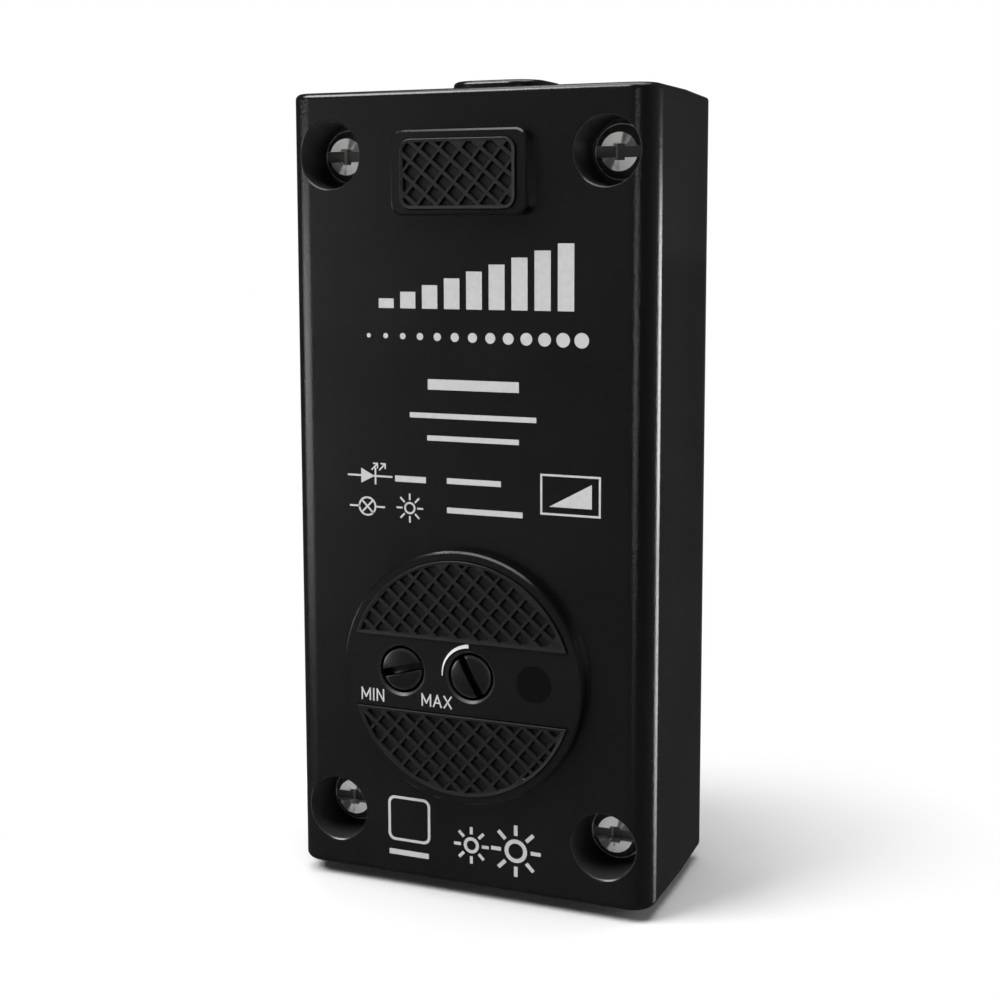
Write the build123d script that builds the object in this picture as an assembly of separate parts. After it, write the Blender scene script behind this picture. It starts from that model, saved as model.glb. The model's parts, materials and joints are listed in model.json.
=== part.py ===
from build123d import *
import math
import os

# Inline rotary dimmer for a lamp cord, in millimetres, standing on its lower cord bushing.
# X runs across it, Z up along the cord, and Y from the underside (low) to the knob side (high).
# The origin is the centre of the lower cord entry's mouth, and Y = 0 is the housing's parting plane.

# Housing
body_width = 40.6
body_height = 84.0
base_depth = 12.0           # from the parting plane to the underside
cover_depth = 9.0           # from the parting plane to the knob side
wall = 2.0
side_edge_radius = 2.6      # the underside's two long edges
end_edge_radius = 0.66      # the edges round both ends
back_edge_radius = 1.0      # round the knob side
inner_corner_radius = 1.0
cover_draft = 2.0           # degrees
tongue_thickness = 0.8      # locating lip of the base inside the cover
tongue_height = 1.0
tongue_gap = 0.1

# Housing screws, in wells at the underside's corners
screw_from_side = 4.95      # from the body's side to a screw
screw_from_end = 6.55
well_radius = 3.5
well_depth = 6.0
well_bevel = 0.15           # round each well's mouth
well_wall = 1.6
seat_thickness = 1.6
screw_head_radius = 2.85
screw_head_height = 2.1
screw_head_bevel = 0.9
screw_shank_radius = 1.4
screw_tip_length = 1.1
screw_length = 12.4         # under the head
screw_play = 0.25           # round the shank in the base
thread_gap = 0.05           # round a shank in its pilot hole
pilot_wall = 1.45
pilot_spare = 0.6           # of a pilot hole past the screw's tip
slot_width = 1.15
slot_depth = 0.8
socket_across = 1.2         # deeper socket in the middle of the slot
socket_along = 1.7
socket_depth = 1.4

# Round foot with the two trimmers
foot_radius = 13.55
foot_below_middle = 18.95   # its centre, from the body's middle height
foot_stand = 1.45
foot_edge_bevel = 0.2
pad_radius = 12.57
pad_chord = 3.95            # from the foot's centre to a pad's straight edge
pad_gap = 0.08              # round each pad in its recess
pad_proud = 0.3
recess_depth = 1.2

# Small foot at the upper end
end_foot_width = 15.1
end_foot_height = 8.65
end_foot_above_middle = 33.5
end_foot_corner = 1.35
end_pad_width = 12.7
end_pad_height = 7.1
end_pad_drop = 0.15         # the pad sits this much lower than its foot
end_pad_corner = 1.2

# Grip of the pads: pockets between two sets of crossing ridges
grip_turn = 49.8            # degrees from across to the first set's direction of repeat
grip_pitch = (1.5, 1.7)     # of both sets
grip_ridge = 0.5
grip_border = 0.35
grip_depth = 0.45
grip_shift = {"end": (0.65, -0.33), "upper": (-0.26, 0.1), "lower": (0.17, 0.58)}

# Trimmers
trimmer_across = {"min": -6.8, "max": 1.13}
trimmer_slot_angle = {"min": 15.0, "max": 118.0}    # degrees from across, as seen from the underside
trimmer_above_foot = 0.3
trimmer_head_radius = 2.25
trimmer_head_sunk = 0.1     # below the foot's plain band
trimmer_head_dome = 0.45
trimmer_slot_width = 0.85
trimmer_slot_depth = 1.1
trimmer_hole_gap = 0.3
trimmer_hole_bevel = 0.27
trimmer_case_size = 6.8
trimmer_flange_radius = 2.8
trimmer_flange_height = 1.2
trimmer_floor_gap = 0.4     # between a trimmer's case and the base's floor
running_gap = 0.05          # radial, on everything that turns in a bearing
end_float = 0.15            # axial, on everything that turns

# Cord entries
cord_hole_radius = 3.2
collar_width = 10.5
collar_depth = 9.8
collar_corner = 3.2
collar_stand = 1.3
collar_edge_radius = 0.5
neck_inset = 0.8            # of the groove that the end wall sits in
neck_gap = 0.1
flange_height = 1.4

# Cord clamps
clamp_from_end = 7.5        # from the end of the body to the clamp's middle
clamp_width = 5.0
clamp_post_across = 14.0
clamp_post_radius = 2.3
clamp_post_top = 0.8        # above the cord's axis
clamp_ear = 2.0
clamp_half_length = 9.0
clamp_crown = 1.7
clamp_play = 0.1
clamp_screw_radius = 1.1
clamp_screw_head_radius = 2.1
clamp_screw_head_height = 1.4
clamp_screw_length = 8.0
small_slot_width = 0.7      # of the clamps', the board's and the terminals' screws
small_slot_depth = 0.6
saddle_thickness = 2.0

# Circuit board
board_thickness = 1.6
board_side_gap = 0.5
board_from_end = 12.0       # from the body's end
board_corner = 1.0
board_screw_inset = 2.3     # from the board's edges
board_post_radius = 2.3
board_screw_radius = 1.0
board_screw_head_radius = 2.0
board_screw_head_height = 1.3
board_screw_length = 5.0

# Knob and its potentiometer
well_floor_depth = 1.6      # of the knob's round well below the cover's face
knob_radius = 16.0
knob_top_radius = 15.4
knob_stand = 6.5            # above the cover's face
knob_side_gap = 0.7
knob_floor_gap = 0.5
knob_wall = 1.8
knob_edge_bevel = 0.8
knob_flutes = 30
flute_radius = 1.1
flute_bite = 0.45
flute_above_cover = 0.6     # where the flutes begin
pointer_length = 7.5
pointer_width = 1.4
pointer_depth = 0.4
pointer_from_edge = 1.4
hub_radius = 5.2
hub_gap = 0.4               # between the hub and the potentiometer's thread
hub_cap = 1.3
knob_ribs = 6
knob_rib_thickness = 1.0
knob_rib_gap = 1.0
shaft_radius = 3.0
shaft_flat = 1.5            # from the shaft's axis to its flat
pot_radius = 8.3
pot_wall = 0.8
pot_plate = 1.2
pot_thread_radius = 3.5
pot_thread_stand = 2.7      # above the well's floor
pot_rotor_thickness = 2.4
pot_track_thickness = 1.0
track_inner = 3.6
track_outer = 6.4
track_height = 0.1
track_gap = 2.0             # between the track's two ends
washer_radius = 5.6
washer_thickness = 0.5
nut_across_flats = 10.0
nut_height = 2.0
wiper_thickness = 0.3
wiper_width = 1.2
wiper_arm_at = 5.0          # radius of the wiper's arms
wiper_inset = 0.5           # of the wiper's ring, from the rotor's edge

# Terminals
terminal_width = 10.0
terminal_length = 8.0
terminal_height = 8.4
terminal_cover_gap = 0.4    # between a block and the floor of the knob's well
terminal_pitch = 5.0
terminal_slot = 3.8
terminal_floor = 1.0
terminal_bevel = 0.5
upper_terminal_from_edge = 4.5      # from the board's upper edge to the block's middle
lower_terminal_from_side = 8.4      # from the board's left edge
lower_terminal_below_middle = 6.7
cage_height = 4.6
cage_gap = 0.1
cage_hole = 1.25
terminal_screw_radius = 1.5
terminal_screw_sunk = 0.6

# Power parts
sink_width = 24.0
sink_length = 15.5
sink_thickness = 1.4
sink_flange = 5.0
sink_above_middle = 7.75
sink_across = 0.6
sink_margin = 0.4           # from the sink's lower edge to the transistors
transistor_width = 10.0
transistor_body = 9.0
transistor_tab = 6.0
transistor_thickness = 4.4
transistor_tab_thickness = 1.3
transistor_gap = 1.0
lead_pitch = 2.54
lead_size = 0.7
lead_reach = 2.2

# Other parts on the board
film_width = 13.0
film_length = 5.5
film_height = 8.0
film_corner = 0.6
film_from_side = 2.2        # from the board's right edge
film_below_middle = 6.0
can_radius = 3.15
can_length = 11.0
can_bevel = 0.5
can_from_side = 0.4
can_from_screw = 0.5        # along the board, to the head of the board's screw
corner_part_from_side = 6.9         # the choke's and the fuse's middles, from the board's edges
corner_part_from_edge = 6.0
choke_outer = 3.3
choke_inner = 1.7
choke_height = 4.2
choke_turns = 12
wire_size = 0.5
wire_play = 0.02            # between the choke's core and its turns
fuse_radius = 3.6
fuse_height = 7.6
fuse_bevel = 0.5
chip_above_middle = 8.0
chip_length = 5.0
chip_width = 4.0
chip_height = 1.6
chip_gap = 0.15             # between the chip and the board
chip_leads = 4              # on each side
chip_lead_pitch = 1.27
chip_lead_width = 0.4
chip_lead_thickness = 0.2
chip_lead_reach = 0.9
resistor_length = 2.0
resistor_width = 1.3
resistor_height = 0.6
resistor_pitch = 3.6
resistors_in_row = 6
resistor_rows_above_middle = (1.0, 15.0)

# Places that follow from the sizes above
body_bottom = collar_stand
body_top = body_bottom + body_height
body_middle = body_bottom + body_height / 2
screw_across = body_width - 2 * screw_from_side
screw_along = body_height - 2 * screw_from_end
floor_y = wall - base_depth
ceiling_y = cover_depth - wall
well_y = cover_depth - well_floor_depth
foot_z = body_middle - foot_below_middle
foot_y = -base_depth - foot_stand
recess_y = foot_y + recess_depth
pad_y = foot_y - pad_proud
end_foot_z = body_middle + end_foot_above_middle
end_pad_z = end_foot_z - end_pad_drop
seat_y = well_depth - base_depth
base_boss_y = seat_y + seat_thickness
trimmer_z = foot_z + trimmer_above_foot
board_width = body_width - 2 * wall - 2 * board_side_gap
board_height = body_height - 2 * board_from_end
board_screw_across = board_width - 2 * board_screw_inset
board_screw_along = board_height - 2 * board_screw_inset
board_side = board_width / 2
board_upper_edge = body_middle + board_height / 2
board_lower_edge = body_middle - board_height / 2
corner_part_across = board_side - corner_part_from_side
corner_part_z = board_upper_edge - corner_part_from_edge
pot_face_y = well_y - wall
board_top_y = pot_face_y - terminal_cover_gap - terminal_height
board_y = board_top_y - board_thickness
pilot_radius = screw_shank_radius + thread_gap
cut_spare = 1.0             # how far a cut reaches past an open face
near = 0.01                 # for picking edges by their place
ends = {"lower": -1, "upper": 1}
lower_terminal_x = lower_terminal_from_side - board_side
lower_terminal_z = body_middle - lower_terminal_below_middle
terminal_places = {"upper": (0.0, board_upper_edge - upper_terminal_from_edge, 1),
                   "lower": (lower_terminal_x, lower_terminal_z, -1)}
terminal_poles = [(x + side * terminal_pitch / 2, z)
                  for x, z, way in terminal_places.values() for side in (-1, 1)]


def around(middle, size):
    """The low and high limits of a size about its middle."""
    return (middle - size / 2, middle + size / 2)


def block(x, y, z):
    """A box from its low and high limits along X, Y and Z."""
    size = [high - low for low, high in (x, y, z)]
    centre = [(high + low) / 2 for low, high in (x, y, z)]
    return Pos(*centre) * Box(*size)


def rod(radius, y_low, y_high, x=0.0, z=0.0):
    """A round bar along Y."""
    return Pos(x, (y_low + y_high) / 2, z) * Cylinder(radius, y_high - y_low, rotation=(90, 0, 0))


def plate(sketch, y_low, y_high):
    """A sketch drawn in X and Z, made solid between two depths."""
    plane = Plane((0, y_high, 0), x_dir=(1, 0, 0), z_dir=(0, -1, 0))
    return extrude(plane * sketch, y_high - y_low)


def bar(sketch, z_low, z_high):
    """A sketch drawn in X and Y, made solid between two heights."""
    return extrude(Pos(0, 0, z_low) * sketch, z_high - z_low)


def corners(across, along, middle=body_middle):
    """The four places of a rectangle of fasteners."""
    return [(sx * across / 2, middle + sz * along / 2) for sz in (1, -1) for sx in (-1, 1)]


def end_face(side):
    """Height of the body's lower or upper end."""
    return body_middle + side * body_height / 2


def edges_at_y(solid, y):
    """The edges that lie flat at one depth."""
    box_low = [e for e in solid.edges() if abs(e.bounding_box().min.Y - y) < near]
    return [e for e in box_low if abs(e.bounding_box().max.Y - y) < near]


# Housing
def base_outline():
    """The base's outside: a rounded section along Z, with small fillets round both ends."""
    section = Pos(0, -base_depth / 2) * Rectangle(body_width, base_depth)
    section = fillet(section.vertices().group_by(Axis.Y)[0], side_edge_radius)
    solid = bar(section, body_bottom, body_top)
    end_edges = [e for e in solid.edges()
                 if abs(abs(e.center().Z - body_middle) - body_height / 2) < near and e.center().Y < -near]
    return fillet(end_edges, end_edge_radius)


def cover_outline():
    """The cover's outside: it tapers towards the knob side by the mould's draft."""
    plane = Plane((0, 0, body_middle), x_dir=(1, 0, 0), z_dir=(0, 1, 0))
    face = plane * RectangleRounded(body_width, body_height, end_edge_radius)
    solid = extrude(face, cover_depth, taper=cover_draft)
    return fillet(edges_at_y(solid, cover_depth), back_edge_radius)


def cavity(y_low, y_high, inset):
    """The housing's inside between two depths, set in from its sides and ends."""
    face = RectangleRounded(body_width - 2 * inset, body_height - 2 * inset, inner_corner_radius)
    return plate(Pos(0, body_middle) * face, y_low, y_high)


def neck_section(gap=0.0):
    """Section of the bushing's neck, or of the slot that holds it."""
    grown = 2 * gap - 2 * neck_inset
    return RectangleRounded(collar_width + grown, collar_depth + grown, collar_corner - neck_inset + gap)


def entry_slots():
    """The openings in both end walls that hold the cord bushings."""
    slots = []
    for side in ends.values():
        low, high = sorted((end_face(side) + side * cut_spare, end_face(side) - side * (wall + cut_spare)))
        slots.append(bar(neck_section(neck_gap), low, high))
    return slots


def half_moon(radius, chord, side):
    """A disc's segment beyond a chord, above or below the foot's centre."""
    disc = Pos(0, foot_z) * Circle(radius)
    reach = 2 * radius
    return disc & Pos(0, foot_z + side * (chord + reach / 2)) * Rectangle(2 * reach, reach)


def round_foot():
    """The raised round foot, with a recess for each pad and a hole for each trimmer."""
    foot = rod(foot_radius, foot_y, floor_y, 0, foot_z)
    foot = chamfer(edges_at_y(foot, foot_y), foot_edge_bevel)
    for side in ends.values():
        foot -= plate(half_moon(pad_radius + pad_gap, pad_chord - pad_gap, side), foot_y, recess_y)
    return foot


def bevelled_hole(radius, bevel, y_low, y_high, x, z):
    """What a hole along Y takes away, with a bevel round its mouth at the low depth."""
    mouth = Plane((x, y_low, z), x_dir=(1, 0, 0), z_dir=(0, 1, 0))
    return rod(radius, y_low, y_high, x, z) + Solid.make_cone(radius + bevel, radius, bevel, mouth)


def end_foot():
    """The raised rectangular foot at the upper end, with its pad's recess."""
    face = Pos(0, end_foot_z) * RectangleRounded(end_foot_width, end_foot_height, end_foot_corner)
    foot = plate(face, foot_y, floor_y)
    foot = chamfer(edges_at_y(foot, foot_y), foot_edge_bevel)
    return foot - plate(end_pad_face(pad_gap), foot_y, recess_y)


def end_pad_face(gap=0.0):
    """Outline of the upper end's pad, or of its recess."""
    grown = 2 * gap
    face = RectangleRounded(end_pad_width + grown, end_pad_height + grown, end_pad_corner + gap)
    return Pos(0, end_pad_z) * face


def make_base_shell():
    """The deep shell with both feet, the screw wells and the posts inside."""
    outline = base_outline()
    shell = outline - cavity(floor_y, 0, wall)
    shell += cavity(0, tongue_height, wall - tongue_thickness) - cavity(0, tongue_height, wall)
    for x, z in corners(screw_across, screw_along):
        boss = rod(well_radius + well_wall, -base_depth, base_boss_y, x, z)
        shell += boss & outline
    for x, z in corners(board_screw_across, board_screw_along):
        shell += rod(board_post_radius, floor_y, board_y, x, z)
        shell -= rod(board_screw_radius + thread_gap, floor_y, board_y, x, z)
    for side in ends.values():
        shell += clamp_seat(end_face(side) - side * clamp_from_end)
    shell += round_foot() + end_foot()
    for x in trimmer_across.values():
        radius = trimmer_head_radius + trimmer_hole_gap
        shell -= bevelled_hole(radius, trimmer_hole_bevel, foot_y, floor_y, x, trimmer_z)
    for x, z in corners(screw_across, screw_along):
        shell -= bevelled_hole(well_radius, well_bevel, -base_depth, seat_y, x, z)
        shell -= rod(screw_shank_radius + screw_play, seat_y, base_boss_y, x, z)
    return shell - entry_slots()


def clamp_seat(z):
    """Two posts for a cord clamp's screws, and the saddle under the cord between them."""
    half = clamp_post_across / 2
    seat = block((-half, half), (floor_y, -cord_hole_radius / 2), around(z, saddle_thickness))
    seat -= Pos(0, 0, z) * Cylinder(cord_hole_radius + clamp_play, clamp_width)
    for x in (-half, half):
        seat += rod(clamp_post_radius, floor_y, clamp_post_top, x, z)
        low = clamp_post_top + clamp_ear - clamp_screw_length - pilot_spare
        seat -= rod(clamp_screw_radius + thread_gap, low, clamp_post_top, x, z)
    return seat


def make_cover_shell():
    """The shallow shell with the knob's well, the screw pillars and the rebate for the base's lip."""
    outline = cover_outline()
    shell = outline - cavity(-cut_spare, ceiling_y, wall)
    shell -= cavity(-cut_spare, tongue_height + tongue_gap, wall - tongue_thickness - tongue_gap)
    dish = rod(knob_radius + knob_side_gap + wall, pot_face_y, cover_depth, 0, foot_z)
    shell += dish & outline
    shell -= rod(knob_radius + knob_side_gap, well_y, cover_depth + cut_spare, 0, foot_z)
    shell -= rod(pot_thread_radius + running_gap, pot_face_y, well_y, 0, foot_z)
    for x, z in corners(screw_across, screw_along):
        shell += rod(pilot_radius + pilot_wall, base_boss_y, ceiling_y, x, z)
    for x, z in corners(screw_across, screw_along):
        shell -= rod(pilot_radius, base_boss_y, seat_y + screw_length + pilot_spare, x, z)
    return shell - entry_slots()


def slotted_screw(head, shank, slot):
    """A plain slotted screw along -Y from its head's seat at the origin, from three pairs of sizes."""
    head_radius, head_height = head
    radius, length = shank
    width, depth = slot
    screw = rod(head_radius, 0, head_height) + rod(radius, -length, 0)
    reach = (-head_radius, head_radius)
    return screw - block(reach, (head_height - depth, head_height), around(0, width))


def make_housing_screws():
    """The four screws that close the housing: bevelled heads, each with a slot and a socket."""
    head = rod(screw_head_radius, -screw_head_height, 0)
    head = chamfer(edges_at_y(head, -screw_head_height), screw_head_bevel)
    for across, along, depth in ((2 * screw_head_radius, slot_width, slot_depth),
                                 (socket_across, socket_along, socket_depth)):
        head -= block(around(0, across), (-screw_head_height, depth - screw_head_height), around(0, along))
    shank = rod(screw_shank_radius, 0, screw_length)
    shank = chamfer(edges_at_y(shank, screw_length), screw_tip_length, screw_shank_radius / 2)
    screw = head + shank
    return [Pos(x, seat_y, z) * screw for x, z in corners(screw_across, screw_along)]


# Feet
def grip_cells(reach, middle, shift):
    """The pockets over a pad, between ridges that cross near its middle height."""
    counts = [int(reach / pitch) + 1 for pitch in grip_pitch]
    width, height = (pitch - grip_ridge for pitch in grip_pitch)
    cells = []
    for i in range(-counts[0], counts[0]):
        for k in range(-counts[1], counts[1]):
            across = (i + 0.5) * grip_pitch[0] + shift[0]
            along = (k + 0.5) * grip_pitch[1] + shift[1]
            if math.hypot(across, along) < reach:
                cells.append(Pos(across, along) * Rectangle(width, height))
    return Pos(0, middle) * Rot(0, 0, grip_turn) * (Sketch() + cells)


def grip_pad(face, pockets):
    """A rubber pad: a plain back and a layer of ridges on its face."""
    back = plate(face, pad_y + grip_depth, recess_y)
    ridges = plate(face - pockets, pad_y, pad_y + grip_depth)
    return back + ridges


def make_foot_pad(name):
    """One of the round foot's two pads."""
    side = ends[name]
    middle = foot_z + side * (pad_chord + pad_radius) / 2
    inner = half_moon(pad_radius - grip_border, pad_chord + grip_border, side)
    cells = grip_cells(pad_radius, middle, grip_shift[name])
    return grip_pad(half_moon(pad_radius, pad_chord, side), cells & inner)


def make_end_pad():
    """The upper end's pad."""
    cells = grip_cells(end_pad_width / 2 + end_pad_corner, end_pad_z, grip_shift["end"])
    return grip_pad(end_pad_face(), cells & end_pad_face(-grip_border))


# Cord entries and clamps
def make_bushing(side):
    """A one-piece bushing: outer collar, neck in the end wall, inner flange and the cord's round hole."""
    face = end_face(side)
    spans = {"collar": (face, face + side * collar_stand),
             "neck": (face, face - side * wall),
             "flange": (face - side * wall, face - side * (wall + flange_height))}
    collar_face = RectangleRounded(collar_width, collar_depth, collar_corner)
    collar = bar(collar_face, *sorted(spans["collar"]))
    outer = [e for e in collar.edges() if abs(e.center().Z - spans["collar"][1]) < near]
    collar = fillet(outer, collar_edge_radius)
    bushing = collar + bar(neck_section(), *sorted(spans["neck"]))
    bushing += bar(collar_face, *sorted(spans["flange"]))
    return bushing - Pos(0, 0, face) * Cylinder(cord_hole_radius, 4 * (wall + flange_height))


def make_clamp(side):
    """The bridge that holds a cord down on its saddle."""
    z = end_face(side) - side * clamp_from_end
    arch = cord_hole_radius + clamp_play
    ears = Pos(0, clamp_post_top + clamp_ear / 2) * Rectangle(2 * clamp_half_length, clamp_ear)
    above = Pos(0, clamp_post_top + arch) * Rectangle(4 * arch, 2 * arch)
    section = ears + (Circle(arch + clamp_crown) & above) - Circle(arch)
    bridge = bar(section, *around(z, clamp_width))
    for x in around(0, clamp_post_across):
        bridge -= rod(clamp_screw_radius + clamp_play, 0, 2 * arch, x, z)
    return bridge


def make_clamp_screws():
    """The four screws of the cord clamps, driven from the knob side."""
    screw = slotted_screw((clamp_screw_head_radius, clamp_screw_head_height),
                          (clamp_screw_radius, clamp_screw_length), (small_slot_width, small_slot_depth))
    half_span = body_height - 2 * clamp_from_end
    return [Pos(x, clamp_post_top + clamp_ear, z) * screw for x, z in corners(clamp_post_across, half_span)]


# Circuit board
def make_board():
    """The circuit board, with holes for its screws."""
    face = Pos(0, body_middle) * RectangleRounded(board_width, board_height, board_corner)
    board = plate(face, board_y, board_top_y)
    for x, z in corners(board_screw_across, board_screw_along):
        board -= rod(board_screw_radius + screw_play, board_y, board_top_y, x, z)
    return board


def small_board_screw(length):
    """A screw of the size that holds the board and the transistors."""
    return slotted_screw((board_screw_head_radius, board_screw_head_height), (board_screw_radius, length),
                         (small_slot_width, small_slot_depth))


def make_board_screws():
    """The four screws that hold the board on its posts."""
    screw = small_board_screw(board_screw_length)
    return [Pos(x, board_top_y, z) * screw for x, z in corners(board_screw_across, board_screw_along)]


# Trimmers
def make_trimmer_case(x):
    """A trimmer's square case on the board, open towards it, with the rotor's bearing in its face."""
    face_y = floor_y + trimmer_floor_gap
    half = trimmer_case_size / 2
    case = block((x - half, x + half), (face_y, board_y), (trimmer_z - half, trimmer_z + half))
    flange_y = board_y - end_float - trimmer_flange_height
    case -= rod(trimmer_flange_radius + running_gap, flange_y - end_float, board_y, x, trimmer_z)
    return case - rod(trimmer_head_radius + running_gap, face_y, board_y, x, trimmer_z)


def make_trimmer_rotor(x, angle):
    """A trimmer's rotor, whose domed and slotted head reaches the foot's face."""
    rim_y = foot_y + trimmer_head_sunk
    top = board_y - end_float
    dome = ThreePointArc((trimmer_head_radius, rim_y + trimmer_head_dome),
                         (trimmer_head_radius * 0.6, rim_y + trimmer_head_dome * 0.3), (0, rim_y))
    sides = Polyline((0, rim_y), (0, top), (trimmer_flange_radius, top),
                     (trimmer_flange_radius, top - trimmer_flange_height),
                     (trimmer_head_radius, top - trimmer_flange_height),
                     (trimmer_head_radius, rim_y + trimmer_head_dome))
    rotor = revolve(make_face([*sides.edges(), dome]), Axis.Y)
    reach = 2 * trimmer_head_radius
    slot = block((-reach, reach), (rim_y - 1, rim_y + trimmer_slot_depth),
                 around(0, trimmer_slot_width))
    return Pos(x, 0, trimmer_z) * Rot(0, -angle, 0) * (rotor - slot)


# Potentiometer
def make_pot_case():
    """The potentiometer's metal case with its threaded neck, open towards the board."""
    case = rod(pot_radius, board_top_y, pot_face_y, 0, foot_z)
    case -= rod(pot_radius - pot_wall, board_top_y, pot_face_y - pot_plate, 0, foot_z)
    case += rod(pot_thread_radius, pot_face_y - pot_plate, well_y + pot_thread_stand, 0, foot_z)
    return case - rod(shaft_radius + running_gap, board_top_y, well_y + pot_thread_stand, 0, foot_z)


def make_pot_track():
    """The wafer that carries the resistance track, in the back of the case."""
    back_y = board_top_y + pot_track_thickness
    wafer = rod(pot_radius - pot_wall - running_gap, board_top_y, back_y, 0, foot_z)
    track = rod(track_outer, back_y, back_y + track_height, 0, foot_z)
    track -= rod(track_inner, back_y, back_y + track_height, 0, foot_z)
    gap = block(around(0, track_gap), (back_y, back_y + track_height), (foot_z - pot_radius, foot_z))
    return wafer + (track - gap)


def rotor_top():
    """Depth of the potentiometer rotor's front face."""
    return pot_face_y - pot_plate - end_float


def shaft_end():
    """Depth at which the shaft ends inside the knob."""
    return cover_depth + knob_stand - hub_cap - hub_gap


def make_pot_shaft():
    """The rotor and its shaft, with a flat that drives the knob."""
    top = rotor_top()
    shaft = rod(track_outer, top - pot_rotor_thickness, top, 0, foot_z)
    shaft += rod(shaft_radius, top, shaft_end(), 0, foot_z)
    flat = block((-shaft_radius, shaft_radius), (well_y + pot_thread_stand, shaft_end()),
                 (foot_z - shaft_radius, foot_z - shaft_flat))
    return shaft - flat


def make_pot_wiper():
    """The spring contact under the rotor, with two arms that reach the track."""
    top = rotor_top() - pot_rotor_thickness
    low = board_top_y + pot_track_thickness + track_height + end_float
    wiper = rod(track_outer - wiper_inset, top - wiper_thickness, top, 0, foot_z)
    wiper -= rod(track_inner - wiper_inset, top - wiper_thickness, top, 0, foot_z)
    for side in (-1, 1):
        x = side * wiper_arm_at
        wiper += block(around(x, wiper_thickness), (low, top),
                       around(foot_z, wiper_width))
    return wiper


def make_pot_washer():
    """The washer between the well's floor and the nut."""
    washer = rod(washer_radius, well_y, well_y + washer_thickness, 0, foot_z)
    return washer - rod(pot_thread_radius + running_gap, well_y, well_y + washer_thickness, 0, foot_z)


def make_pot_nut():
    """The nut that holds the potentiometer to the cover."""
    low = well_y + washer_thickness
    face = Pos(0, foot_z) * RegularPolygon(nut_across_flats / 2, 6, major_radius=False)
    nut = plate(face, low, low + nut_height)
    return nut - rod(pot_thread_radius + running_gap, low, low + nut_height, 0, foot_z)


# Knob
def make_knob():
    """The hollow knob: fluted skirt, flat top with a pointer groove, and a hub on ribs."""
    low = well_y + knob_floor_gap
    top = cover_depth + knob_stand
    under = top - knob_wall
    skirt = Solid.make_cone(knob_radius, knob_top_radius, top - low, Plane((0, low, foot_z), z_dir=(0, 1, 0)))
    knob = chamfer(edges_at_y(skirt, top), knob_edge_bevel)
    for i in range(knob_flutes):
        turn = Rot(0, 360 * (i + 0.5) / knob_flutes, 0)
        flute_z = knob_radius + flute_radius - flute_bite
        flute = rod(flute_radius, cover_depth + flute_above_cover, top, 0, flute_z)
        knob -= Pos(0, 0, foot_z) * turn * flute
    knob -= rod(knob_top_radius - knob_wall, low, under, 0, foot_z)
    hub_low = well_y + pot_thread_stand + hub_gap
    knob += rod(hub_radius, hub_low, under, 0, foot_z)
    reach = knob_top_radius - knob_wall / 2
    for i in range(knob_ribs):
        rib = block((0, reach), (hub_low + knob_rib_gap, under), around(0, knob_rib_thickness))
        knob += Pos(0, 0, foot_z) * Rot(0, 360 * i / knob_ribs, 0) * rib
    bore = rod(shaft_radius + running_gap, hub_low, shaft_end() + hub_gap, 0, foot_z)
    flat_z = foot_z - shaft_flat - running_gap
    bore -= block((-hub_radius, hub_radius), (hub_low, top), (foot_z - hub_radius, flat_z))
    knob -= bore
    pointer_end = knob_top_radius - pointer_from_edge
    groove = block(around(0, pointer_width), (top - pointer_depth, top),
                   (foot_z + pointer_end - pointer_length, foot_z + pointer_end))
    return knob - groove


# Terminals
def make_terminal_block(x, z, way):
    """A two-pole terminal block on the board; its cords' cores enter from one end."""
    half_w = terminal_width / 2
    half_l = terminal_length / 2
    top = board_top_y + terminal_height
    body = block((x - half_w, x + half_w), (board_top_y, top), (z - half_l, z + half_l))
    body = chamfer(edges_at_y(body, top), terminal_bevel)
    for side in (-1, 1):
        pole = x + side * terminal_pitch / 2
        low = board_top_y + terminal_floor
        mouth = sorted((z - way * terminal_slot / 2, z + way * half_l))
        body -= block(around(pole, terminal_slot), (low, low + cage_height + 2 * cage_gap),
                      mouth)
        body -= rod(terminal_screw_radius + 2 * cage_gap, low, top, pole, z)
    return body


def make_terminal_cages():
    """The brass cages that grip the cores, one in each pole."""
    cages = []
    low = board_top_y + terminal_floor
    half = terminal_slot / 2 - cage_gap
    for x, z in terminal_poles:
        cage = block((x - half, x + half), (low, low + cage_height), (z - half, z + half))
        cage -= Pos(x, low + cage_height / 3, z) * Cylinder(cage_hole, terminal_length)
        cage -= rod(terminal_screw_radius + thread_gap, low + cage_height / 3, low + cage_height, x, z)
        cages.append(cage)
    return cages


def make_terminal_screws():
    """The slotted screws of the terminals."""
    low = board_top_y + terminal_floor + cage_height / 2
    top = board_top_y + terminal_height - terminal_screw_sunk
    screws = []
    for x, z in terminal_poles:
        screw = rod(terminal_screw_radius, low, top, x, z)
        slot = block((x - terminal_screw_radius, x + terminal_screw_radius), (top - small_slot_depth, top),
                     around(z, small_slot_width))
        screws.append(screw - slot)
    return screws


# Power parts
def make_heat_sink():
    """A folded aluminium channel on the board, under both transistors."""
    z = body_middle + sink_above_middle
    half_l = sink_length / 2
    half_w = sink_width / 2
    channel = block((sink_across - half_w, sink_across + half_w),
                    (board_top_y, board_top_y + sink_thickness + sink_flange), (z - half_l, z + half_l))
    inner = half_w - sink_thickness
    channel -= block((sink_across - inner, sink_across + inner),
                     (board_top_y + sink_thickness, ceiling_y), (z - half_l, z + half_l))
    for x, hole_z in transistor_holes():
        channel -= rod(board_screw_radius + thread_gap, board_top_y, board_top_y + sink_thickness, x, hole_z)
    return channel


def transistor_middles():
    """Where the two transistors lie across the heat sink."""
    shift = (transistor_width + transistor_gap) / 2
    return [sink_across - shift, sink_across + shift]


def transistor_low():
    """Height at which the transistors' leads leave their bodies."""
    return body_middle + sink_above_middle - sink_length / 2 + sink_margin


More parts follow.
